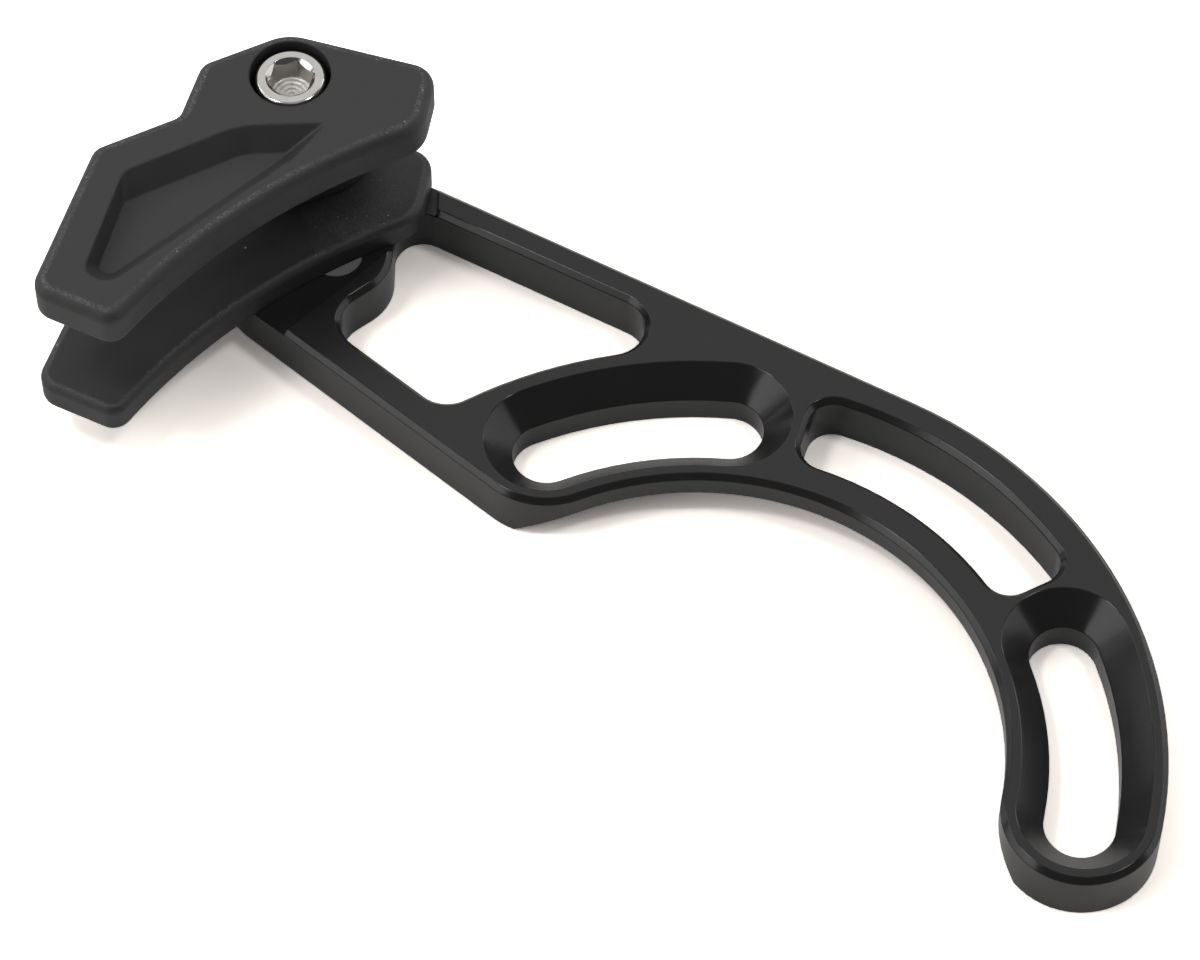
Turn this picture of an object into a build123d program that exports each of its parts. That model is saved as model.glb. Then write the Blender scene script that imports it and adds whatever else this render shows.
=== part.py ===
# Upper bicycle chain guide for a single chainring, at its setting for the smallest ring.
# Millimetres. The origin is the crank axis on the back face of the plate, and +Z points out from the frame.
import os
from math import acos, atan2, cos, degrees, radians, sin, sqrt

from build123d import *

# Back plate: the hooked arm that follows the bolt circle
bolt_circle_radius = 36.5
arm_width = 15.2
plate_thickness = 5.8
outer_arc_shift = 0.5
edge_chamfer = 0.55
back_relief = 3.1
heel_radius = 8.0

# Back plate: countersunk slots on the bolt circle, as angles about the crank axis
slot_width = 6.8
countersink_width = 12.4
upper_slot_start = 84.7
upper_slot_wall = 1.92
lower_slot_start = -13.0
lower_slot_end = 16.2

# Back plate: window in the arm between the slots
arm_window_width = 7.9
arm_window_start = 27.3
arm_window_end = 72.85
arm_window_corner = 2.6

# Back plate: the two rails that carry the guide, by the angle of the normal to each straight edge
far_rail_normal = 61.2
far_rail_width = 3.04
near_rail_normal = 49.05
near_edge_below_slot = 10.72
near_rail_width = 3.65
rail_window_setback = 0.4
pocket_wall_normal = 127.7
tail_corner = 3.38
heel_corner = 3.5
pocket_corner = 3.5
head_window_corner = 2.8

# Back plate: adjusting slot, whose inner end is placed from the start and the edge of the far rail
slide_angle = 114.35
slot_end_along_rail = 58.92
slot_end_below_rail = 11.96
bolt_from_slot_end = 9.82
slide_travel = 4.04
slide_slot_width = 5.3
ledge_height = 2.9
slot_lobe_radius = 5.7
head_side_normal = 175.0
head_corner_radius = 12.0
head_blend_radius = 8.0

# Back plate: lowered seat under the guide
seat_depth = 0.65
seat_edge_normal = 135.0
seat_edge_gap = 3.8
seat_nose_gap = 0.3

# Cheeks: corner points of the outline before rounding, measured from the bolt, with each corner's radius
end_x, end_y, end_radius = -24.1, -25.95, 2.4
end_edge_angle = -25.7
end_tip_radius = 1.8
wing_x, wing_y, wing_radius = -18.85, -8.85, 2.0
step_x, step_y, step_radius = -10.75, -4.85, 1.5
shoulder_x, shoulder_y, shoulder_radius = -8.85, 1.65, 2.0
crown_x, crown_y, crown_radius = -0.55, 5.65, 5.0
nose_x, nose_y, nose_radius = 14.5, 1.15, 2.6
nose_edge_angle = -100.0
nose_tip_radius = 4.0
guide_arc_radius = 65.2
guide_arc_angle = -60.2
bolt_to_guide_arc = 11.66

# Cheeks: thicknesses and edges
chain_gap = 10.85
inner_thickness = 3.0
outer_thickness = 4.0
inner_edge_radius = 0.9
outer_edge_radius = 1.3
inner_end_extra = 0.75
inner_end_drop = 0.6
inner_nose_cut = 0.65
inner_nose_rise = 0.7
inner_arc_extra = 0.35

# Outer cheek: arrow-shaped recess, measured from the bolt, with the slope of each wall
recess_depth = 2.2
recess_tip_x, recess_tip_y, recess_tip_radius = 3.85, -6.05, 0.2
recess_bend_x, recess_bend_y, recess_bend_radius = -4.75, -6.35, 10.0
recess_wing_x, recess_wing_y, recess_wing_radius = -15.75, -12.05, 2.0
recess_end_x, recess_end_y, recess_end_radius = -18.95, -24.05, 1.5
recess_heel_x, recess_heel_y, recess_heel_radius = -16.45, -25.65, 2.0
recess_belly_x, recess_belly_y, recess_belly_radius = 0.9, -10.3, 5.0
recess_long_slope = 2.0
recess_end_slope = 0.7
recess_foot_slope = 2.2
recess_floor_rounding = 0.5

# Outer cheek: counterbore, and the spacer boss with its spigot
counterbore_diameter = 8.1
head_below_face = 0.5
boss_width = 9.8
boss_length = 15.0
boss_inset = 0.5
spigot_width = 6.8
spigot_length = 9.0
spigot_depth = 0.8

# Inner cheek: key that runs in the adjusting slot
key_start = 3.2
key_length = 5.0
key_depth = 1.9

# Bolt and nut
thread_diameter = 5.0
bolt_length = 18.0
bolt_tip_chamfer = 0.6
head_diameter = 7.06
head_height = 4.0
head_rim_radius = 0.45
hexagon_flats = 4.0
hexagon_depth = 2.6
hexagon_turn = 16.0
socket_entry = 0.15
drill_depth = 0.45
nut_width = 8.0
nut_length = 10.0
nut_thickness = 2.6

# Clearances
slide_clearance = 0.05
side_clearance = 0.1
thread_clearance = 0.05
hole_clearance = 0.15
spigot_clearance = 0.1


def polar(radius, angle):
    """Point at a radius and an angle in degrees."""
    return Vector(radius * cos(radians(angle)), radius * sin(radians(angle)))


def offset_of(point, normal):
    """Distance of a point from the crank axis, along a normal."""
    return point.dot(polar(1, normal))


def crossing(normal_a, offset_a, normal_b, offset_b):
    """Point where two lines meet, each given by its normal and its distance from the crank axis."""
    a = polar(1, normal_a)
    b = polar(1, normal_b)
    area = a.X * b.Y - a.Y * b.X
    return Vector((offset_a * b.Y - a.Y * offset_b) / area, (a.X * offset_b - offset_a * b.X) / area)


# Worked-out sizes
arm_outer = bolt_circle_radius + arm_width / 2
arm_inner = bolt_circle_radius - arm_width / 2
seat_height = plate_thickness - seat_depth
inner_bottom = seat_height + slide_clearance
inner_top = inner_bottom + inner_thickness
outer_bottom = inner_top + chain_gap
outer_top = outer_bottom + outer_thickness
head_top = outer_top - head_below_face
head_seat = head_top - head_height
nut_top = ledge_height - slide_clearance
nut_slot_width = nut_width + 2 * side_clearance
bolt_hole = thread_diameter + 2 * hole_clearance
slide = polar(1, slide_angle)
outer_arc_radius = arm_outer - outer_arc_shift
outer_arc_centre = polar(outer_arc_shift, lower_slot_start)
rail_start = outer_arc_centre + polar(outer_arc_radius, far_rail_normal)
rail_offset = offset_of(rail_start, far_rail_normal)
below_rail_start = rail_start - polar(slot_end_below_rail, far_rail_normal)
slot_end = below_rail_start + polar(slot_end_along_rail, far_rail_normal + 90)
near_edge_offset = offset_of(slot_end, near_rail_normal) - near_edge_below_slot
near_edge_angle = near_rail_normal + degrees(acos(near_edge_offset / bolt_circle_radius))
slot_end_metal = countersink_width / 2 + upper_slot_wall
upper_slot_end = near_edge_angle - degrees(slot_end_metal / bolt_circle_radius)
bolt = slot_end + slide * bolt_from_slot_end
guide_arc_centre = bolt + polar(bolt_to_guide_arc + guide_arc_radius, guide_arc_angle)
bolt_reach = bolt_from_slot_end + slide_travel + side_clearance
nut_reach = bolt_reach + (nut_length - nut_width) / 2
head_centre = slot_end + slide * nut_reach
past = 1.0
far_off = 200.0
standing = (Align.CENTER, Align.CENTER, Align.MIN)


def outline(points):
    """Flat face through corner points."""
    return make_face(Polyline(*points, close=True))


def disc(centre, radius):
    """Round face about a point."""
    return Pos(centre.X, centre.Y) * Circle(radius)


def round_corner(face, point, radius):
    """Round the corner of a face that lies nearest to a point."""
    return fillet(face.vertices().sort_by_distance(point)[0], radius)


def prism(face, bottom, top):
    """Straight solid on a flat outline between two heights."""
    return extrude(Pos(0, 0, bottom) * face, amount=top - bottom)


def rod(centre, diameter, bottom, top):
    """Upright round bar between two heights."""
    return prism(disc(centre, diameter / 2), bottom, top)


def slide_slot(start, end, width):
    """Slot outline along the slide, between two distances from the inner end of the adjusting slot."""
    middle = slot_end + slide * ((start + end) / 2)
    return Pos(middle.X, middle.Y) * Rot(0, 0, slide_angle) * SlotCenterToCenter(end - start, width)


def arm_slot(start, end):
    """Cutter for a curved slot on the bolt circle, with its 45 degree countersink."""
    half = slot_width / 2
    top = plate_thickness + past
    low = plate_thickness - (countersink_width - slot_width) / 2
    wide = half + top - low
    section = [
        (bolt_circle_radius - half, low),
        (bolt_circle_radius + half, low),
        (bolt_circle_radius + wide, top),
        (bolt_circle_radius - wide, top),
    ]
    cutter = Rot(0, 0, start) * revolve(Plane.XZ * outline(section), Axis.Z, end - start)
    for angle in (start, end):
        place = polar(bolt_circle_radius, angle)
        cutter += Pos(place.X, place.Y, low) * Cone(half, wide, top - low, align=standing)
    path = CenterArc((0, 0), bolt_circle_radius, start, end - start)
    return cutter + prism(SlotArc(path, slot_width), -past, low + past / 2)


def arm_window():
    """Outline of the window in the arm."""
    outer = bolt_circle_radius + arm_window_width / 2
    inner = bolt_circle_radius - arm_window_width / 2
    wedge = outline([(0, 0), polar(far_off, arm_window_start), polar(far_off, arm_window_end)])
    face = (Circle(outer) - Circle(inner)) & wedge
    for radius in (inner, outer):
        for angle in (arm_window_start, arm_window_end):
            face = round_corner(face, polar(radius, angle), arm_window_corner)
    return face


def rail_window():
    """Outline of the window between the rails, the arm and the lobe round the adjusting slot."""
    far = rail_offset - far_rail_width
    near = near_edge_offset + near_rail_width
    side = -(slot_end.X + slot_lobe_radius)
    pocket = offset_of(slot_end, pocket_wall_normal) - slot_lobe_radius
    head = crossing(far_rail_normal, far, 180, side)
    lobe = crossing(180, side, pocket_wall_normal, pocket)
    corner = crossing(pocket_wall_normal, pocket, near_rail_normal, near)
    arc = arm_outer + rail_window_setback
    heel = polar(arc, near_rail_normal + degrees(acos(near / arc)))
    tail = polar(arc, far_rail_normal + degrees(acos(far / arc)))
    face = outline([head, lobe, corner, heel, (0, 0), tail]) - Circle(arc)
    face = round_corner(face, head, head_window_corner)
    face = round_corner(face, lobe, slot_lobe_radius)
    face = round_corner(face, corner, pocket_corner)
    face = round_corner(face, heel, heel_corner)
    return round_corner(face, tail, tail_corner)


def plate_outline():
    """Outer outline of the back plate, without its windows."""
    tip = polar(bolt_circle_radius, lower_slot_start)
    rail_gap = rail_offset - offset_of(head_centre, far_rail_normal)
    rail_end = head_centre + polar(rail_gap, far_rail_normal)
    side = head_centre + polar(slot_lobe_radius, head_side_normal)
    side_offset = offset_of(side, head_side_normal)
    corner = crossing(head_side_normal, side_offset, near_rail_normal, near_edge_offset)
    foot = polar(near_edge_offset, near_rail_normal)
    heel = polar(arm_inner, near_rail_normal + degrees(acos(near_edge_offset / arm_inner)))
    wedge = outline([(0, 0), polar(far_off, lower_slot_start), polar(far_off, upper_slot_start)])
    arm = (disc(outer_arc_centre, outer_arc_radius) & wedge) + disc(tip, arm_width / 2)
    web = outline([rail_start, rail_end, head_centre, side, corner, foot, (0, 0)])
    face = arm + web + disc(head_centre, slot_lobe_radius) - Circle(arm_inner)
    face = round_corner(face, heel, heel_radius)
    face = round_corner(face, corner, head_corner_radius)
    if rail_gap < slot_lobe_radius:
        bulge = sqrt(slot_lobe_radius**2 - rail_gap**2)
        rail_end += polar(bulge, far_rail_normal - 90)
    return round_corner(face, rail_end, head_blend_radius)


def seat_outline():
    """Outline of the lowered seat: it stops beside the nose of the inner cheek and below its lower edge."""
    nose = bolt.X + nose_x - inner_nose_cut + seat_nose_gap
    edge = offset_of(guide_arc_centre, seat_edge_normal) + guide_arc_radius - seat_edge_gap
    corner = crossing(180, -nose, seat_edge_normal, edge)
    low = corner - polar(far_off, seat_edge_normal - 90)
    return outline([corner, low, (low.X, far_off), (nose, far_off)])


def make_back_plate():
    """Hooked aluminium plate with its slots, windows, seat and relief for the frame."""
    plate = prism(plate_outline() - rail_window() - arm_window(), 0, plate_thickness)
    plate = chamfer(plate.faces().sort_by(Axis.Z)[-1].edges(), edge_chamfer)
    plate -= prism(seat_outline(), seat_height, plate_thickness + past)
    plate -= arm_slot(upper_slot_start, upper_slot_end)
    plate -= arm_slot(lower_slot_start, lower_slot_end)
    plate -= Cone(arm_inner + back_relief, arm_inner, back_relief, align=standing)
    plate -= prism(slide_slot(0, bolt_reach, slide_slot_width), -past, plate_thickness + past)
    plate -= prism(slide_slot(0, nut_reach, nut_slot_width), -past, ledge_height)
    return plate


def from_bolt(x, y):
    """Point measured from the bolt."""
    return bolt + Vector(x, y)


def reach_arc(start, angle, arc_radius):
    """Point where a straight edge from a corner meets the arc of the lower edge."""
    run = polar(1, angle)
    offset_start = start - guide_arc_centre
    along = offset_start.dot(run)
    distance = -along - sqrt(along**2 - offset_start.dot(offset_start) + arc_radius**2)
    return start + run * distance


def cheek_outline(end, nose, arc_radius):
    """Outline of a cheek: straight upper edges with a step, and a lower edge that follows the chain."""
    wing = from_bolt(wing_x, wing_y)
    step = from_bolt(step_x, step_y)
    shoulder = from_bolt(shoulder_x, shoulder_y)
    crown = from_bolt(crown_x, crown_y)
    end_tip = reach_arc(end, end_edge_angle, arc_radius)
    nose_tip = reach_arc(nose, nose_edge_angle, arc_radius)
    face = outline([end, wing, step, shoulder, crown, nose, nose_tip, guide_arc_centre, end_tip])
    face -= disc(guide_arc_centre, arc_radius)
    corners = [
        (end, end_radius),
        (wing, wing_radius),
        (step, step_radius),
        (shoulder, shoulder_radius),
        (crown, crown_radius),
        (nose, nose_radius),
        (nose_tip, nose_tip_radius),
        (end_tip, end_tip_radius),
    ]
    for point, radius in corners:
        face = round_corner(face, point, radius)
    return face


def across_bolt(length, width):
    """Oblong outline that lies across the slide, about the bolt."""
    return Pos(bolt.X, bolt.Y) * Rot(0, 0, slide_angle - 90) * SlotCenterToCenter(length - width, width)


def recess_outline(corners, rounding):
    """Outline through the corner points of the recess, each rounded by a share of its radius."""
    face = outline([point for point, radius in corners])
    for point, radius in corners:
        face = round_corner(face, point, radius * rounding)
    return face


def recess_cutter():
    """Arrow-shaped hollow whose walls slope inward to its floor."""
    rim = [
        (from_bolt(recess_tip_x, recess_tip_y), recess_tip_radius),
        (from_bolt(recess_bend_x, recess_bend_y), recess_bend_radius),
        (from_bolt(recess_wing_x, recess_wing_y), recess_wing_radius),
        (from_bolt(recess_end_x, recess_end_y), recess_end_radius),
        (from_bolt(recess_heel_x, recess_heel_y), recess_heel_radius),
        (from_bolt(recess_belly_x, recess_belly_y), recess_belly_radius),
    ]
    slopes = [
        recess_long_slope,
        recess_long_slope,
        recess_end_slope,
        recess_foot_slope,
        recess_long_slope,
        recess_long_slope,
    ]
    walls = []
    for number, slope in enumerate(slopes):
        start = rim[number][0]
        run = rim[(number + 1) % len(rim)][0] - start
        normal = degrees(atan2(run.Y, run.X)) - 90
        walls.append((normal, offset_of(start, normal) - slope))
    floor = []
    for number, (point, radius) in enumerate(rim):
        floor.append((crossing(*walls[number - 1], *walls[number]), radius))
    top = recess_outline(rim, 1)
    bottom = recess_outline(floor, recess_floor_rounding)
    hollow = loft([Pos(0, 0, outer_top - recess_depth) * bottom, Pos(0, 0, outer_top) * top], ruled=True)
    return hollow + prism(top, outer_top, outer_top + past)


def make_outer_cheek():
    """Outer nylon cheek with its recess, its counterbore and the boss that spaces the cheeks apart."""
    face = cheek_outline(from_bolt(end_x, end_y), from_bolt(nose_x, nose_y), guide_arc_radius)
    cheek = prism(face, outer_bottom, outer_top)
    cheek = fillet(cheek.faces().sort_by(Axis.Z)[-1].edges(), outer_edge_radius)
    cheek -= recess_cutter()
    boss = across_bolt(boss_length, boss_width) & offset(face, -boss_inset)
    cheek += prism(boss, inner_top, outer_bottom)
    cheek += prism(across_bolt(spigot_length, spigot_width), inner_top - spigot_depth, inner_top)
    cheek -= rod(bolt, counterbore_diameter, head_seat, outer_top + past)
    return cheek - rod(bolt, bolt_hole, inner_bottom, outer_top)


def make_inner_cheek():
    """Inner nylon cheek with the pocket for the spigot and the key that runs in the adjusting slot."""
    end = from_bolt(end_x - inner_end_extra, end_y - inner_end_drop)
    nose = from_bolt(nose_x - inner_nose_cut, nose_y + inner_nose_rise)
    face = cheek_outline(end, nose, guide_arc_radius + inner_arc_extra)
    cheek = prism(face, inner_bottom, inner_top)
    cheek = fillet(cheek.faces().sort_by(Axis.Z)[-1].edges(), inner_edge_radius)
    pocket = across_bolt(spigot_length + 2 * spigot_clearance, spigot_width + 2 * spigot_clearance)
    cheek -= prism(pocket, inner_top - spigot_depth - spigot_clearance, inner_top + past)
    middle = bolt - slide * (key_start + key_length / 2)
    bar = Rectangle(key_length, slide_slot_width - 2 * side_clearance)
    key = Pos(middle.X, middle.Y) * Rot(0, 0, slide_angle) * bar
    cheek += prism(key, inner_bottom - key_depth, inner_bottom)
    return cheek - rod(bolt, bolt_hole, inner_bottom - past, inner_top + past)


def make_guide_bolt():
    """Cap screw with a hexagon socket."""
    head = rod(bolt, head_diameter, head_seat, head_top)
    head = fillet(head.faces().sort_by(Axis.Z)[-1].edges(), head_rim_radius)
    shank = rod(bolt, thread_diameter, head_seat - bolt_length, head_seat)
    shank = chamfer(shank.faces().sort_by(Axis.Z)[0].edges(), bolt_tip_chamfer)
    hexagon = RegularPolygon(hexagon_flats / 2, 6, major_radius=False, rotation=hexagon_turn)
    socket_floor = head_top - hexagon_depth
    socket = prism(Pos(bolt.X, bolt.Y) * hexagon, socket_floor, head_top + past)
    entry_radius = hexagon_flats / sqrt(3) + socket_entry
    entry = Cone(entry_radius - past, entry_radius + past, 2 * past)
    drill = Cone(0, hexagon_flats / 2, drill_depth, align=(Align.CENTER, Align.CENTER, Align.MAX))
    socket += Pos(bolt.X, bolt.Y, head_top) * entry
    socket += Pos(bolt.X, bolt.Y, socket_floor) * drill
    return head + shank - socket


def make_slot_nut():
    """Oblong steel nut in the back of the adjusting slot."""
    half = (nut_length - nut_width) / 2
    along_bolt = slide_slot(bolt_from_slot_end - half, bolt_from_slot_end + half, nut_width)
    nut = prism(along_bolt, nut_top - nut_thickness, nut_top)
    return nut - rod(bolt, thread_diameter + 2 * thread_clearance, 0, plate_thickness)


os.makedirs("parts", exist_ok=True)
export_step(make_back_plate(), "parts/back_plate.step")
export_step(make_inner_cheek(), "parts/inner_cheek.step")
export_step(make_outer_cheek(), "parts/outer_cheek.step")
export_step(make_guide_bolt(), "parts/guide_bolt.step")
export_step(make_slot_nut(), "parts/slot_nut.step")
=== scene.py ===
# Upper bicycle chain guide on a white floor: its finished pieces, soft studio light and camera.
from math import pi, radians

import bmesh
import bpy
from mathutils import Matrix, Vector


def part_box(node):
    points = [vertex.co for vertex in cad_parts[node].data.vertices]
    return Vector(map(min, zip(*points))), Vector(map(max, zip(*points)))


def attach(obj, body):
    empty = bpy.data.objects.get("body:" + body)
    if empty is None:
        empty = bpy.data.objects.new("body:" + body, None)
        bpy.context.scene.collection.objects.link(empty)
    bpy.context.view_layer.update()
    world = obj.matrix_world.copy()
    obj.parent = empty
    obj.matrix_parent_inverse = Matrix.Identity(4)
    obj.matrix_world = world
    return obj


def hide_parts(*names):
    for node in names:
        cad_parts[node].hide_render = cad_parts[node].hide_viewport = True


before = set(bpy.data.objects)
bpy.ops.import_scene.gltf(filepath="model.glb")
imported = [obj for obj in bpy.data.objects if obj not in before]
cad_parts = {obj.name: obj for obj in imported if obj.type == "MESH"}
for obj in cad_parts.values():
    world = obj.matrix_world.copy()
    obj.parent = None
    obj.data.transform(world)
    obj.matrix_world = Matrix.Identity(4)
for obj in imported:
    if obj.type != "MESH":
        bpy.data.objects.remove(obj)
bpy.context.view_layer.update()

# Millimetres to metres
mm = 0.001

# Edges: how far each finish rounds them, how finely it looks for them, and how far the nut's are cut back
plate_edge_radius = 0.2 * mm
nylon_edge_radius = 0.4 * mm
bolt_edge_radius = 0.06 * mm
plate_edge_samples = 24
soft_edge_samples = 6
nut_edge_break = 0.12 * mm
nut_edge_steps = 2

# Burnish of the plate's edges: its roughness, and the cosines of the turn at which it begins and is full
edge_roughness = 0.1
burnish_begins = 0.997
burnish_full = 0.97

# Meshes: how near points merge, and the largest angles within a flat face and within a smooth surface
weld_distance = 0.001 * mm
flat_angle = radians(0.5)
smooth_angle = radians(24)

# Steepness, as the z of a face's normal: the most on upright faces, on walls and on rims
upright_face = 0.01
wall_face = 0.05
rim_top = 0.98

# The least on the floor of the socket and on level faces
floor_face = 0.95
flat_face = 0.999

# Crest of a cheek's rim, where it is scuffed and a highlight is painted pale: the tilt in its middle and how
# far it spreads
crest_tilt = 0.95
crest_spread = 0.12

# Patterns: the range that most noise lies in, and where a speck of dust fades, in widths from its middle
noise_low = 0.3
noise_high = 0.7
speck_fade = 0.3
speck_end = 0.6

# Sockets of a mix node, whose names repeat: its share, its numbers and colours, and the two that it gives
mix_share = 0
low_number = 2
high_number = 3
low_colour = 6
high_colour = 7
mixed_number = 0
mixed_colour = 2

# Bolt: head, socket, shank, thread and the relief of its turned rings
head_height = 4.0 * mm
socket_floor_depth = 2.0 * mm
shank_radius = 2.5 * mm
slack = 0.05 * mm
thread_pitch = 0.8 * mm
thread_root = 2.08 * mm
thread_crest = 2.46 * mm
thread_start = 0.7 * mm
thread_stop = 0.9 * mm
thread_sides = 40
ridge_sides = 4
ring_bump = 0.15

# Cutter: its axis, a little off the upright so that no face lies square to it
cutter_axis = (0.02, 0.01, 1.0)

# Camera: where it looks, from how far, how steeply and how level, its lens and sensor, and how near it sees
look_at = Vector((-9.36, 32.39, 0.0)) * mm
camera_distance = 480.2 * mm
camera_elevation = radians(56.43)
camera_roll = 0.003
focal_length = 146.16
sensor_width = 36.0
nearest_view = 0.01

# Light: brightness of the surroundings and of each panel as the eye meets them, where 1 is white paper
world_light = 0.08
ceiling_light = 0.35
key_light = 13.5
strip_light = 4.5
back_light = 0.78
left_light = 2.25
left_low_light = 1.2
right_light = 1.1

# Floor: its half width and how far it lies under the plate, in metres
floor_half = 2.0
floor_drop = 0.02 * mm

# Floor's look: how many times over the eye sees it, its glow in shade and in metal, and where it turns white
floor_to_eye = 2.6
floor_in_shade = 0.055
floor_to_metal = 0.085
glow_start = 0.15
glow_full = 0.5


def linear(code):
    """Linear colour of an sRGB hex code."""
    channels = []
    for start in (1, 3, 5):
        value = int(code[start:start + 2], 16) / 255
        channels.append(value / 12.92 if value <= 0.04045 else ((value + 0.055) / 1.055) ** 2.4)
    return (*channels, 1.0)


def grain(size_mm):
    """Noise scale whose features are about this many millimetres wide."""
    return 1 / (size_mm * mm)


def lines(spacing_mm):
    """Wave scale whose lines are this many millimetres apart."""
    return pi / 10 / (spacing_mm * mm)


def add(tree, kind, settings, links):
    """Add a node, give it its settings and input values, and link its inputs, by name or by order."""
    node = tree.nodes.new(kind)
    for key, value in settings.items():
        if isinstance(key, int) or key in node.inputs:
            node.inputs[key].default_value = value
        else:
            setattr(node, key, value)
    for key, socket in links.items():
        tree.links.new(socket, node.inputs[key])
    return node


def start_material(name):
    """Empty material with its shader, its output and its object coordinates."""
    material = bpy.data.materials.new(name)
    material.use_nodes = True
    tree = material.node_tree
    tree.nodes.clear()
    shader = add(tree, "ShaderNodeBsdfPrincipled", {}, {})
    add(tree, "ShaderNodeOutputMaterial", {}, {"Surface": shader.outputs["BSDF"]})
    place = add(tree, "ShaderNodeTexCoord", {}, {}).outputs["Object"]
    return material, tree, shader, place


def dust(tree, place, spacing_mm, width_mm, share):
    """Share of dust: specks this wide, in some of the cells that lie this far apart."""
    cells = add(tree, "ShaderNodeTexVoronoi", {"Scale": grain(spacing_mm)}, {"Vector": place})
    lot = add(tree, "ShaderNodeSeparateColor", {}, {"Color": cells.outputs["Color"]})
    chosen = add(tree, "ShaderNodeMath", {"operation": "LESS_THAN", 1: share}, {0: lot.outputs["Red"]})
    across = width_mm / spacing_mm
    speck = add(
        tree,
        "ShaderNodeMapRange",
        {"From Min": speck_fade * across, "From Max": speck_end * across, "To Min": 1.0, "To Max": 0.0},
        {"Value": cells.outputs["Distance"]},
    )
    both = {0: chosen.outputs["Value"], 1: speck.outputs["Result"]}
    return add(tree, "ShaderNodeMath", {"operation": "MULTIPLY"}, both).outputs["Value"]


def edge_share(tree, soft):
    """Share of an edge in each place: how far its rounding turns the face there."""
    face = add(tree, "ShaderNodeNewGeometry", {}, {}).outputs["True Normal"]
    turned = add(
        tree, "ShaderNodeVectorMath", {"operation": "DOT_PRODUCT"}, {0: soft.outputs["Normal"], 1: face}
    )
    return add(
        tree,
        "ShaderNodeMapRange",
        {"From Min": burnish_begins, "From Max": burnish_full, "To Min": 0.0, "To Max": 1.0},
        {"Value": turned.outputs["Value"]},
    ).outputs["Result"]


# Blasted and black anodised aluminium: an even satin black whose fine grit softens every reflection
def satin_anodised():
    material, tree, shader, place = start_material("satin_black_anodised_aluminium")
    shader.inputs["IOR"].default_value = 1.5
    shader.inputs["Specular IOR Level"].default_value = 0.42
    cloud = add(tree, "ShaderNodeTexNoise", {"Scale": grain(7), "Detail": 3.0}, {"Vector": place})
    grit = add(tree, "ShaderNodeTexNoise", {"Scale": grain(0.16), "Detail": 2.0}, {"Vector": place})
    tint = add(
        tree,
        "ShaderNodeMix",
        {"data_type": "RGBA", low_colour: linear("#1e1e1e"), high_colour: linear("#232324")},
        {mix_share: cloud.outputs["Fac"]},
    )
    specks = dust(tree, place, spacing_mm=4.5, width_mm=0.16, share=0.2)
    tint = add(
        tree,
        "ShaderNodeMix",
        {"data_type": "RGBA", high_colour: linear("#77777a")},
        {mix_share: specks, low_colour: tint.outputs[mixed_colour]},
    )
    gloss = add(
        tree,
        "ShaderNodeMapRange",
        {"From Min": noise_low, "From Max": noise_high, "To Min": 0.3, "To Max": 0.38},
        {"Value": cloud.outputs["Fac"]},
    )
    soft = add(tree, "ShaderNodeBevel", {"samples": plate_edge_samples, "Radius": plate_edge_radius}, {})
    burnish = add(
        tree,
        "ShaderNodeMix",
        {"data_type": "FLOAT", high_number: edge_roughness},
        {mix_share: edge_share(tree, soft), low_number: gloss.outputs["Result"]},
    )
    relief = add(
        tree,
        "ShaderNodeBump",
        {"Strength": 0.12, "Distance": 0.01 * mm},
        {"Height": grit.outputs["Fac"], "Normal": soft.outputs["Normal"]},
    )
    tree.links.new(tint.outputs[mixed_colour], shader.inputs["Base Color"])
    tree.links.new(burnish.outputs[mixed_number], shader.inputs["Roughness"])
    tree.links.new(relief.outputs["Normal"], shader.inputs["Normal"])
    return material


# Milled and black anodised aluminium: smoother than the blasted faces, with faint lines left by the cutter
def milled_anodised():
    material, tree, shader, place = start_material("milled_black_anodised_aluminium")
    shader.inputs["IOR"].default_value = 1.5
    shader.inputs["Specular IOR Level"].default_value = 0.42
    shader.inputs["Anisotropic"].default_value = 0.75
    shader.inputs["Anisotropic Rotation"].default_value = 0.25
    side = add(tree, "ShaderNodeNewGeometry", {}, {}).outputs["True Normal"]
    cut = add(tree, "ShaderNodeVectorMath", {"operation": "CROSS_PRODUCT", 1: cutter_axis}, {0: side})
    cloud = add(tree, "ShaderNodeTexNoise", {"Scale": grain(5), "Detail": 3.0}, {"Vector": place})
    cutter = add(
        tree,
        "ShaderNodeTexWave",
        {"wave_type": "BANDS", "bands_direction": "Z", "Scale": lines(0.22), "Distortion": 0.4},
        {"Vector": place},
    )
    tint = add(
        tree,
        "ShaderNodeMix",
        {"data_type": "RGBA", low_colour: linear("#1f1f1f"), high_colour: linear("#232323")},
        {mix_share: cloud.outputs["Fac"]},
    )
    gloss = add(
        tree,
        "ShaderNodeMapRange",
        {"From Min": noise_low, "From Max": noise_high, "To Min": 0.2, "To Max": 0.24},
        {"Value": cloud.outputs["Fac"]},
    )
    soft = add(tree, "ShaderNodeBevel", {"samples": plate_edge_samples, "Radius": plate_edge_radius}, {})
    burnish = add(
        tree,
        "ShaderNodeMix",
        {"data_type": "FLOAT", high_number: edge_roughness},
        {mix_share: edge_share(tree, soft), low_number: gloss.outputs["Result"]},
    )
    relief = add(
        tree,
        "ShaderNodeBump",
        {"Strength": 0.05, "Distance": 0.004 * mm},
        {"Height": cutter.outputs["Fac"], "Normal": soft.outputs["Normal"]},
    )
    tree.links.new(tint.outputs[mixed_colour], shader.inputs["Base Color"])
    tree.links.new(burnish.outputs[mixed_number], shader.inputs["Roughness"])
    tree.links.new(relief.outputs["Normal"], shader.inputs["Normal"])
    tree.links.new(cut.outputs["Vector"], shader.inputs["Tangent"])
    return material
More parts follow.
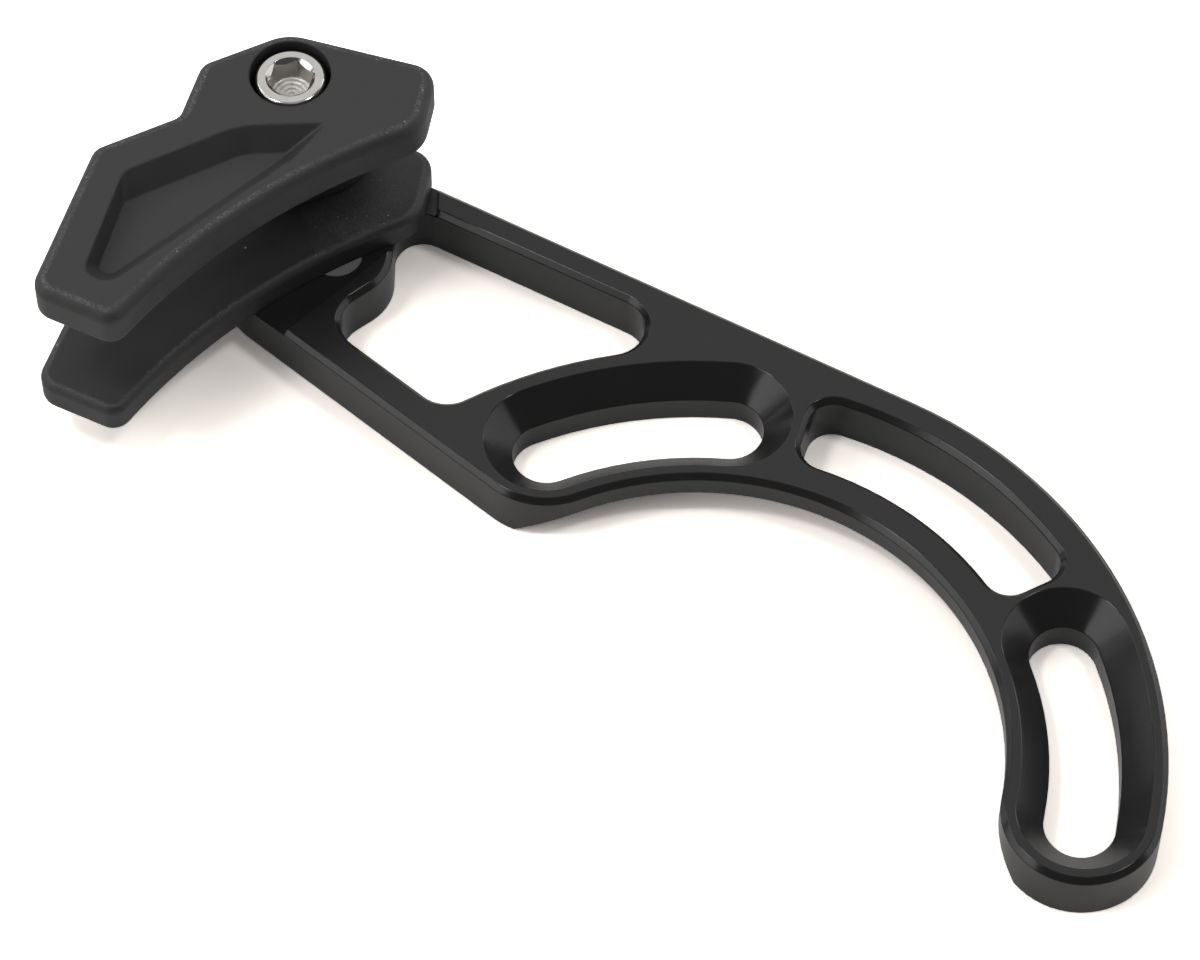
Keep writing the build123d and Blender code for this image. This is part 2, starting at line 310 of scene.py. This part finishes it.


# Moulded nylon: a dull black with the fine grain of the mould, dusty along its rims' crests, and pale there
# partly from scuffs and partly from a painted highlight on the rounding
def moulded_nylon():
    material, tree, shader, place = start_material("moulded_black_nylon")
    shader.inputs["IOR"].default_value = 1.53
    # The rim weight carries both real scuffing and a painted highlight along the rounded crest
    rim_wear_and_highlight = add(tree, "ShaderNodeAttribute", {"attribute_name": "rim_wear_and_highlight"}, {}).outputs["Fac"]
    cloud = add(tree, "ShaderNodeTexNoise", {"Scale": grain(6), "Detail": 3.0}, {"Vector": place})
    mould = add(tree, "ShaderNodeTexNoise", {"Scale": grain(0.22), "Detail": 3.0}, {"Vector": place})
    tint = add(
        tree,
        "ShaderNodeMix",
        {"data_type": "RGBA", low_colour: linear("#282829"), high_colour: linear("#323234")},
        {mix_share: cloud.outputs["Fac"]},
    )
    # Pale scuffs on the rim crests, which also paint in the highlight of the rounding
    scuff_and_highlight = add(
        tree,
        "ShaderNodeMapRange",
        {"From Min": 0.4, "From Max": 0.7, "To Min": 0.06, "To Max": 0.6},
        {"Value": mould.outputs["Fac"]},
    )
    patch = add(
        tree,
        "ShaderNodeMapRange",
        {"From Min": 0.38, "From Max": 0.6, "To Min": 0.35, "To Max": 1.0},
        {"Value": cloud.outputs["Fac"]},
    )
    worn_and_highlit_rim = add(tree, "ShaderNodeMath", {"operation": "MULTIPLY"}, {0: patch.outputs["Result"], 1: rim_wear_and_highlight})
    scuff_and_highlight = add(
        tree,
        "ShaderNodeMath",
        {"operation": "MULTIPLY"},
        {0: scuff_and_highlight.outputs["Result"], 1: worn_and_highlit_rim.outputs["Value"]},
    )
    # Pale grey on the rims: partly scuff wear, partly a painted highlight
    scuffed_and_highlit = add(
        tree,
        "ShaderNodeMix",
        {"data_type": "RGBA", high_colour: linear("#77767a")},
        {mix_share: scuff_and_highlight.outputs["Value"], low_colour: tint.outputs[mixed_colour]},
    )
    fine = dust(tree, place, spacing_mm=0.42, width_mm=0.16, share=0.1)
    coarse = dust(tree, place, spacing_mm=1.7, width_mm=0.34, share=0.12)
    powder = add(tree, "ShaderNodeMath", {"operation": "MAXIMUM"}, {0: fine, 1: coarse})
    powder = add(tree, "ShaderNodeMath", {"operation": "MULTIPLY"}, {0: powder.outputs["Value"], 1: rim_wear_and_highlight})
    stray = dust(tree, place, spacing_mm=3.2, width_mm=0.22, share=0.12)
    powder = add(tree, "ShaderNodeMath", {"operation": "MAXIMUM"}, {0: powder.outputs["Value"], 1: stray})
    colour = add(
        tree,
        "ShaderNodeMix",
        {"data_type": "RGBA", high_colour: linear("#c4c2bf")},
        {mix_share: powder.outputs["Value"], low_colour: scuffed_and_highlit.outputs[mixed_colour]},
    )
    gloss = add(
        tree,
        "ShaderNodeMapRange",
        {"From Min": noise_low, "From Max": noise_high, "To Min": 0.52, "To Max": 0.62},
        {"Value": cloud.outputs["Fac"]},
    )
    soft = add(tree, "ShaderNodeBevel", {"samples": soft_edge_samples, "Radius": nylon_edge_radius}, {})
    relief = add(
        tree,
        "ShaderNodeBump",
        {"Strength": 0.3, "Distance": 0.03 * mm},
        {"Height": mould.outputs["Fac"], "Normal": soft.outputs["Normal"]},
    )
    tree.links.new(colour.outputs[mixed_colour], shader.inputs["Base Color"])
    tree.links.new(gloss.outputs["Result"], shader.inputs["Roughness"])
    tree.links.new(relief.outputs["Normal"], shader.inputs["Normal"])
    return material


# Turned or drilled steel: bright, with rings left by the cutting edge, drawn coarse so that they show
def turned_steel(name, axis, shades, spacing_mm, depth_mm, smoothest, roughest):
    material, tree, shader, place = start_material(name)
    shader.inputs["Metallic"].default_value = 1.0
    centred = add(tree, "ShaderNodeMapping", {"Location": (-axis.x, -axis.y, 0.0)}, {"Vector": place})
    rings = add(
        tree,
        "ShaderNodeTexWave",
        {"wave_type": "RINGS", "rings_direction": "Z", "Scale": lines(spacing_mm), "Distortion": 0.6},
        {"Vector": centred.outputs["Vector"]},
    )
    cloud = add(tree, "ShaderNodeTexNoise", {"Scale": grain(1.2), "Detail": 3.0}, {"Vector": place})
    tint = add(
        tree,
        "ShaderNodeMix",
        {"data_type": "RGBA", low_colour: linear(shades[0]), high_colour: linear(shades[1])},
        {mix_share: cloud.outputs["Fac"]},
    )
    gloss = add(
        tree,
        "ShaderNodeMapRange",
        {"From Min": noise_low, "From Max": noise_high, "To Min": smoothest, "To Max": roughest},
        {"Value": cloud.outputs["Fac"]},
    )
    soft = add(tree, "ShaderNodeBevel", {"samples": soft_edge_samples, "Radius": bolt_edge_radius}, {})
    relief = add(
        tree,
        "ShaderNodeBump",
        {"Strength": ring_bump, "Distance": depth_mm * mm},
        {"Height": rings.outputs["Fac"], "Normal": soft.outputs["Normal"]},
    )
    tree.links.new(tint.outputs[mixed_colour], shader.inputs["Base Color"])
    tree.links.new(gloss.outputs["Result"], shader.inputs["Roughness"])
    tree.links.new(relief.outputs["Normal"], shader.inputs["Normal"])
    return material


# Broached steel of the socket's walls: grey and dull, with no plating to brighten it
def broached_steel():
    material, tree, shader, place = start_material("broached_steel")
    shader.inputs["Metallic"].default_value = 1.0
    streak = add(tree, "ShaderNodeMapping", {"Scale": (1.0, 1.0, 0.1)}, {"Vector": place})
    marks = add(
        tree,
        "ShaderNodeTexNoise",
        {"Scale": grain(0.15), "Detail": 2.0},
        {"Vector": streak.outputs["Vector"]},
    )
    tint = add(
        tree,
        "ShaderNodeMix",
        {"data_type": "RGBA", low_colour: linear("#aaa7a2"), high_colour: linear("#c4c1bc")},
        {mix_share: marks.outputs["Fac"]},
    )
    gloss = add(
        tree,
        "ShaderNodeMapRange",
        {"From Min": noise_low, "From Max": noise_high, "To Min": 0.35, "To Max": 0.45},
        {"Value": marks.outputs["Fac"]},
    )
    tree.links.new(tint.outputs[mixed_colour], shader.inputs["Base Color"])
    tree.links.new(gloss.outputs["Result"], shader.inputs["Roughness"])
    return material


# Zinc-plated stamped steel: a dull grey with the soft blotches of the plating bath
def zinc_steel():
    material, tree, shader, place = start_material("stamped_zinc_plated_steel")
    shader.inputs["Metallic"].default_value = 1.0
    blotch = add(tree, "ShaderNodeTexNoise", {"Scale": grain(1.5), "Detail": 4.0}, {"Vector": place})
    grit = add(tree, "ShaderNodeTexNoise", {"Scale": grain(0.2), "Detail": 2.0}, {"Vector": place})
    tint = add(
        tree,
        "ShaderNodeMix",
        {"data_type": "RGBA", low_colour: linear("#8d9092"), high_colour: linear("#b3b5b4")},
        {mix_share: blotch.outputs["Fac"]},
    )
    gloss = add(
        tree,
        "ShaderNodeMapRange",
        {"From Min": noise_low, "From Max": noise_high, "To Min": 0.3, "To Max": 0.45},
        {"Value": blotch.outputs["Fac"]},
    )
    relief = add(
        tree, "ShaderNodeBump", {"Strength": 0.2, "Distance": 0.01 * mm}, {"Height": grit.outputs["Fac"]}
    )
    tree.links.new(tint.outputs[mixed_colour], shader.inputs["Base Color"])
    tree.links.new(gloss.outputs["Result"], shader.inputs["Roughness"])
    tree.links.new(relief.outputs["Normal"], shader.inputs["Normal"])
    return material


def merged_copy(node):
    """Closed mesh of a node, with its flat faces whole."""
    shape = bmesh.new()
    shape.from_mesh(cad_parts[node].data)
    bmesh.ops.remove_doubles(shape, verts=shape.verts, dist=weld_distance)
    bmesh.ops.dissolve_limit(shape, angle_limit=flat_angle, verts=shape.verts, edges=shape.edges)
    shape.normal_update()
    for face in shape.faces:
        face.smooth = True
        face.material_index = 0
    for edge in shape.edges:
        edge.smooth = edge.calc_face_angle(0) < smooth_angle
    return shape


def mark_rims(shape):
    """Weight on the crest of the rounded rims that lead from a cheek's outer walls to its face, where the
    scuffs and the painted highlight lie.
    """
    # This crest weight places both the scuffs and a painted highlight
    rim_wear_and_highlight = shape.verts.layers.float.new("rim_wear_and_highlight")
    found = [face for face in shape.faces if abs(face.normal.z) < wall_face]
    rims = set()
    while found:
        face = found.pop()
        for edge in face.edges:
            for other in edge.link_faces:
                rounded = wall_face < other.normal.z < rim_top
                if rounded and other not in rims and edge.calc_face_angle(pi) < smooth_angle:
                    rims.add(other)
                    found.append(other)
    for face in rims:
        for vert in face.verts:
            vert[rim_wear_and_highlight] = max(0.0, 1.0 - abs(vert.normal.z - crest_tilt) / crest_spread)


def piece(name, shape, node, body, materials, edge_break=0.0):
    """Finished piece that stands for a node, with its finishes on it and its edges cut back if need be."""
    mesh = bpy.data.meshes.new(name)
    shape.to_mesh(mesh)
    shape.free()
    for material in materials:
        mesh.materials.append(material)
    made = bpy.data.objects.new(name, mesh)
    bpy.context.scene.collection.objects.link(made)
    if edge_break:
        bevel = made.modifiers.new("broken_edges", "BEVEL")
        bevel.width = edge_break
        bevel.segments = nut_edge_steps
        bevel.limit_method = "ANGLE"
        bevel.angle_limit = smooth_angle
    normals = made.modifiers.new("even_faces", "WEIGHTED_NORMAL")
    normals.keep_sharp = True
    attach(made, body)
    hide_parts(node)


def thread_tree(material):
    """Node tree that winds a ridge round the bolt's shank."""
    tree = bpy.data.node_groups.new("wound_thread", "GeometryNodeTree")
    tree.interface.new_socket("Geometry", in_out="OUTPUT", socket_type="NodeSocketGeometry")
    for name in ("Turns", "Root radius", "Length", "Ridge"):
        tree.interface.new_socket(name, in_out="INPUT", socket_type="NodeSocketFloat")
    sizes = add(tree, "NodeGroupInput", {}, {}).outputs
    helix = add(
        tree,
        "GeometryNodeCurveSpiral",
        {"Resolution": thread_sides},
        {
            "Rotations": sizes["Turns"],
            "Start Radius": sizes["Root radius"],
            "End Radius": sizes["Root radius"],
            "Height": sizes["Length"],
        },
    )
    ridge = add(
        tree,
        "GeometryNodeCurvePrimitiveCircle",
        {"mode": "RADIUS", "Resolution": ridge_sides},
        {"Radius": sizes["Ridge"]},
    )
    wound = add(
        tree,
        "GeometryNodeCurveToMesh",
        {"Fill Caps": True},
        {"Curve": helix.outputs["Curve"], "Profile Curve": ridge.outputs["Curve"]},
    )
    real = add(tree, "GeometryNodeRealizeInstances", {}, {"Geometry": wound.outputs["Mesh"]})
    coated = add(
        tree, "GeometryNodeSetMaterial", {"Material": material}, {"Geometry": real.outputs["Geometry"]}
    )
    add(tree, "NodeGroupOutput", {}, {"Geometry": coated.outputs["Geometry"]})
    return tree


def wind_thread(name, axis, bottom, top, material):
    """Plain mesh of the thread, in place on the bolt."""
    made = bpy.data.objects.new(name, bpy.data.meshes.new(name))
    bpy.context.scene.collection.objects.link(made)
    tree = thread_tree(material)
    sizes = {
        "Turns": (top - bottom) / thread_pitch,
        "Root radius": thread_root,
        "Length": top - bottom,
        "Ridge": thread_crest - thread_root,
    }
    winding = made.modifiers.new("winding", "NODES")
    winding.node_group = tree
    for socket in tree.interface.items_tree:
        if socket.in_out == "INPUT":
            winding[socket.identifier] = sizes[socket.name]
    bpy.context.view_layer.update()
    wound = made.evaluated_get(bpy.context.evaluated_depsgraph_get())
    mesh = bpy.data.meshes.new_from_object(wound)
    made.modifiers.clear()
    made.data = mesh
    mesh.transform(Matrix.Translation((axis.x, axis.y, bottom)))
    return made


def softbox(name, place, width, height, brightness):
    """Soft rectangular panel of light that faces the object."""
    data = bpy.data.lights.new(name, "AREA")
    data.shape = "RECTANGLE"
    data.size = width
    data.size_y = height
    data.energy = brightness * pi * width * height
    panel = bpy.data.objects.new(name, data)
    bpy.context.scene.collection.objects.link(panel)
    towards = look_at - Vector(place)
    panel.matrix_world = Matrix.Translation(place) @ towards.to_track_quat("-Z", "Y").to_matrix().to_4x4()


# White paper floor: it shows white to the eye and to bright metal, and darkens only in the object's shadow
def paper_floor():
    material = bpy.data.materials.new("matt_white_paper")
    material.use_nodes = True
    tree = material.node_tree
    tree.nodes.clear()
    seen = add(tree, "ShaderNodeLightPath", {}, {}).outputs
    bright = [floor_to_eye * channel for channel in linear("#f4ede6")]
    colour = add(
        tree,
        "ShaderNodeMix",
        {"data_type": "RGBA", low_colour: linear("#f4f1ee"), high_colour: bright},
        {mix_share: seen["Is Camera Ray"]},
    )
    paper = add(tree, "ShaderNodeBsdfDiffuse", {}, {"Color": colour.outputs[mixed_colour]})
    metal = add(
        tree,
        "ShaderNodeMath",
        {"operation": "MAXIMUM"},
        {0: seen["Is Glossy Ray"], 1: seen["Is Transmission Ray"]},
    )
    level = add(
        tree, "ShaderNodeMath", {"operation": "MULTIPLY", 1: floor_to_metal}, {0: metal.outputs["Value"]}
    )
    place = add(tree, "ShaderNodeTexCoord", {}, {}).outputs["Object"]
    away = add(tree, "ShaderNodeVectorMath", {"operation": "LENGTH"}, {0: place})
    far = add(
        tree,
        "ShaderNodeMapRange",
        {"From Min": glow_start, "From Max": glow_full, "To Min": floor_in_shade, "To Max": 1.0},
        {"Value": away.outputs["Value"]},
    )
    level = add(
        tree,
        "ShaderNodeMath",
        {"operation": "MULTIPLY_ADD"},
        {0: seen["Is Camera Ray"], 1: far.outputs["Result"], 2: level.outputs["Value"]},
    )
    glow = add(tree, "ShaderNodeEmission", {"Color": linear("#ffffff")}, {"Strength": level.outputs["Value"]})
    both = add(tree, "ShaderNodeAddShader", {}, {0: paper.outputs["BSDF"], 1: glow.outputs["Emission"]})
    add(tree, "ShaderNodeOutputMaterial", {}, {"Surface": both.outputs["Shader"]})
    return material


def lay_floor():
    """Wide flat floor under the plate's back face."""
    mesh = bpy.data.meshes.new("floor")
    sides = ((-1, -1), (1, -1), (1, 1), (-1, 1))
    corners = [(x * floor_half, y * floor_half, 0.0) for x, y in sides]
    mesh.from_pydata(corners, [], [(0, 1, 2, 3)])
    mesh.materials.append(paper_floor())
    floor = bpy.data.objects.new("floor", mesh)
    floor.location.z = -floor_drop
    bpy.context.scene.collection.objects.link(floor)


def light_the_world():
    """White surroundings to the eye, and a dim even light on the object."""
    world = bpy.data.worlds.new("studio")
    bpy.context.scene.world = world
    world.use_nodes = True
    tree = world.node_tree
    tree.nodes.clear()
    seen = add(tree, "ShaderNodeLightPath", {}, {}).outputs
    level = add(
        tree,
        "ShaderNodeMapRange",
        {"To Min": world_light, "To Max": 1.0},
        {"Value": seen["Is Camera Ray"]},
    )
    back = add(
        tree, "ShaderNodeBackground", {"Color": linear("#ffffff")}, {"Strength": level.outputs["Result"]}
    )
    add(tree, "ShaderNodeOutputWorld", {}, {"Surface": back.outputs["Background"]})


def set_camera():
    """Camera at the photograph's viewing angle."""
    data = bpy.data.cameras.new("camera")
    data.sensor_fit = "HORIZONTAL"
    data.sensor_width = sensor_width
    data.lens = focal_length
    data.clip_start = nearest_view
    camera = bpy.data.objects.new("camera", data)
    bpy.context.scene.collection.objects.link(camera)
    turn = Matrix.Rotation(pi / 2 - camera_elevation, 4, "X")
    back = turn @ Vector((0.0, 0.0, camera_distance))
    roll = Matrix.Rotation(camera_roll, 4, "Z")
    camera.matrix_world = Matrix.Translation(look_at + back) @ turn @ roll
    bpy.context.scene.camera = camera


# Aluminium plate: blasted on its level faces, and milled elsewhere
plate = merged_copy("back_plate")
blasted = satin_anodised()
milled = milled_anodised()
plate_finishes = [blasted, milled]
for face in plate.faces:
    finish = blasted if abs(face.normal.z) > flat_face else milled
    face.material_index = plate_finishes.index(finish)
piece("anodised_plate", plate, "back_plate", "base", plate_finishes)

# Nylon cheeks, scuffed along their rims, with a highlight painted pale there too
nylon = moulded_nylon()
for name, node in (("moulded_outer_cheek", "outer_cheek"), ("moulded_inner_cheek", "inner_cheek")):
    cheek = merged_copy(node)
    mark_rims(cheek)
    piece(name, cheek, node, "guide_head", [nylon])

# Bolt: its shank cut down to the root of the thread, its socket broached and its socket's floor drilled, in a
# steel painted brighter to stand in for a lamp's highlight
bolt_low, bolt_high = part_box("guide_bolt")
bolt_axis = (bolt_low + bolt_high) / 2
plating = ("#c2bfba", "#d3d1cd")
# Painted highlight: the drilled floor's shades are paler than steel, standing in for a lamp reflected there
painted_bright_floor_shades = ("#e6e3df", "#f1efec")
bright = turned_steel(
    "turned_nickel_plated_steel",
    bolt_axis,
    plating,
    spacing_mm=0.2,
    depth_mm=0.006,
    smoothest=0.13,
    roughest=0.2,
)
# Drilled floor: its brighter colour is a painted highlight, not the steel's own
drilled = turned_steel(
    "drilled_steel_painted_bright",
    bolt_axis,
    painted_bright_floor_shades,
    spacing_mm=0.45,
    depth_mm=0.12,
    smoothest=0.42,
    roughest=0.5,
)
broached = broached_steel()
bolt_finishes = [bright, broached, drilled]
shank_top = bolt_high.z - head_height
socket_low = bolt_high.z - socket_floor_depth
bolt = merged_copy("guide_bolt")
for vert in bolt.verts:
    out = (vert.co - bolt_axis).to_2d()
    if vert.co.z < shank_top + slack and out.length < shank_radius + slack:
        out *= thread_root / shank_radius
        vert.co.xy = bolt_axis.xy + out
for edge in bolt.edges:
    tilts = [face.normal.z for face in edge.link_faces]
    floor_edge = min(tilts) > floor_face and max(tilts) > flat_face
    if floor_edge and edge.verts[0].co.z < socket_low:
        edge.smooth = min(tilts) > flat_face
for face in bolt.faces:
    middle = face.calc_center_median()
    if middle.z > shank_top and (middle - bolt_axis).xy.length < shank_radius:
        if abs(face.normal.z) < upright_face:
            face.material_index = bolt_finishes.index(broached)
        elif middle.z < socket_low:
            face.material_index = bolt_finishes.index(drilled)
piece("socket_bolt", bolt, "guide_bolt", "guide_head", bolt_finishes)
thread = wind_thread("bolt_thread", bolt_axis, bolt_low.z + thread_start, shank_top - thread_stop, bright)
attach(thread, "guide_head")

# Nut, with its edges cut back
nut = merged_copy("slot_nut")
piece("oblong_nut", nut, "slot_nut", "guide_head", [zinc_steel()], nut_edge_break)

# Floor, light and camera
lay_floor()
light_the_world()
softbox("ceiling", place=(0.0, 0.05, 0.8), width=0.7, height=0.7, brightness=ceiling_light)
softbox("left_key", place=(-0.36, 0.0, 0.78), width=0.16, height=0.16, brightness=key_light)
softbox("right_key", place=(0.36, 0.0, 0.78), width=0.14, height=0.14, brightness=key_light)
softbox("left_strip", place=(-0.66, 0.42, 0.78), width=0.08, height=0.7, brightness=strip_light)
softbox("right_strip", place=(0.72, 0.68, 0.72), width=0.08, height=0.5, brightness=strip_light)
softbox("back", place=(0.0, 0.85, 0.75), width=1.6, height=1.0, brightness=back_light)
softbox("left", place=(-0.9, -0.15, 0.55), width=1.0, height=0.6, brightness=left_light)
softbox("left_low", place=(-0.8, 0.58, 0.15), width=0.6, height=0.3, brightness=left_low_light)
softbox("right", place=(0.9, 0.25, 0.35), width=1.0, height=0.7, brightness=right_light)
set_camera()
bpy.context.scene.view_settings.view_transform = "Standard"
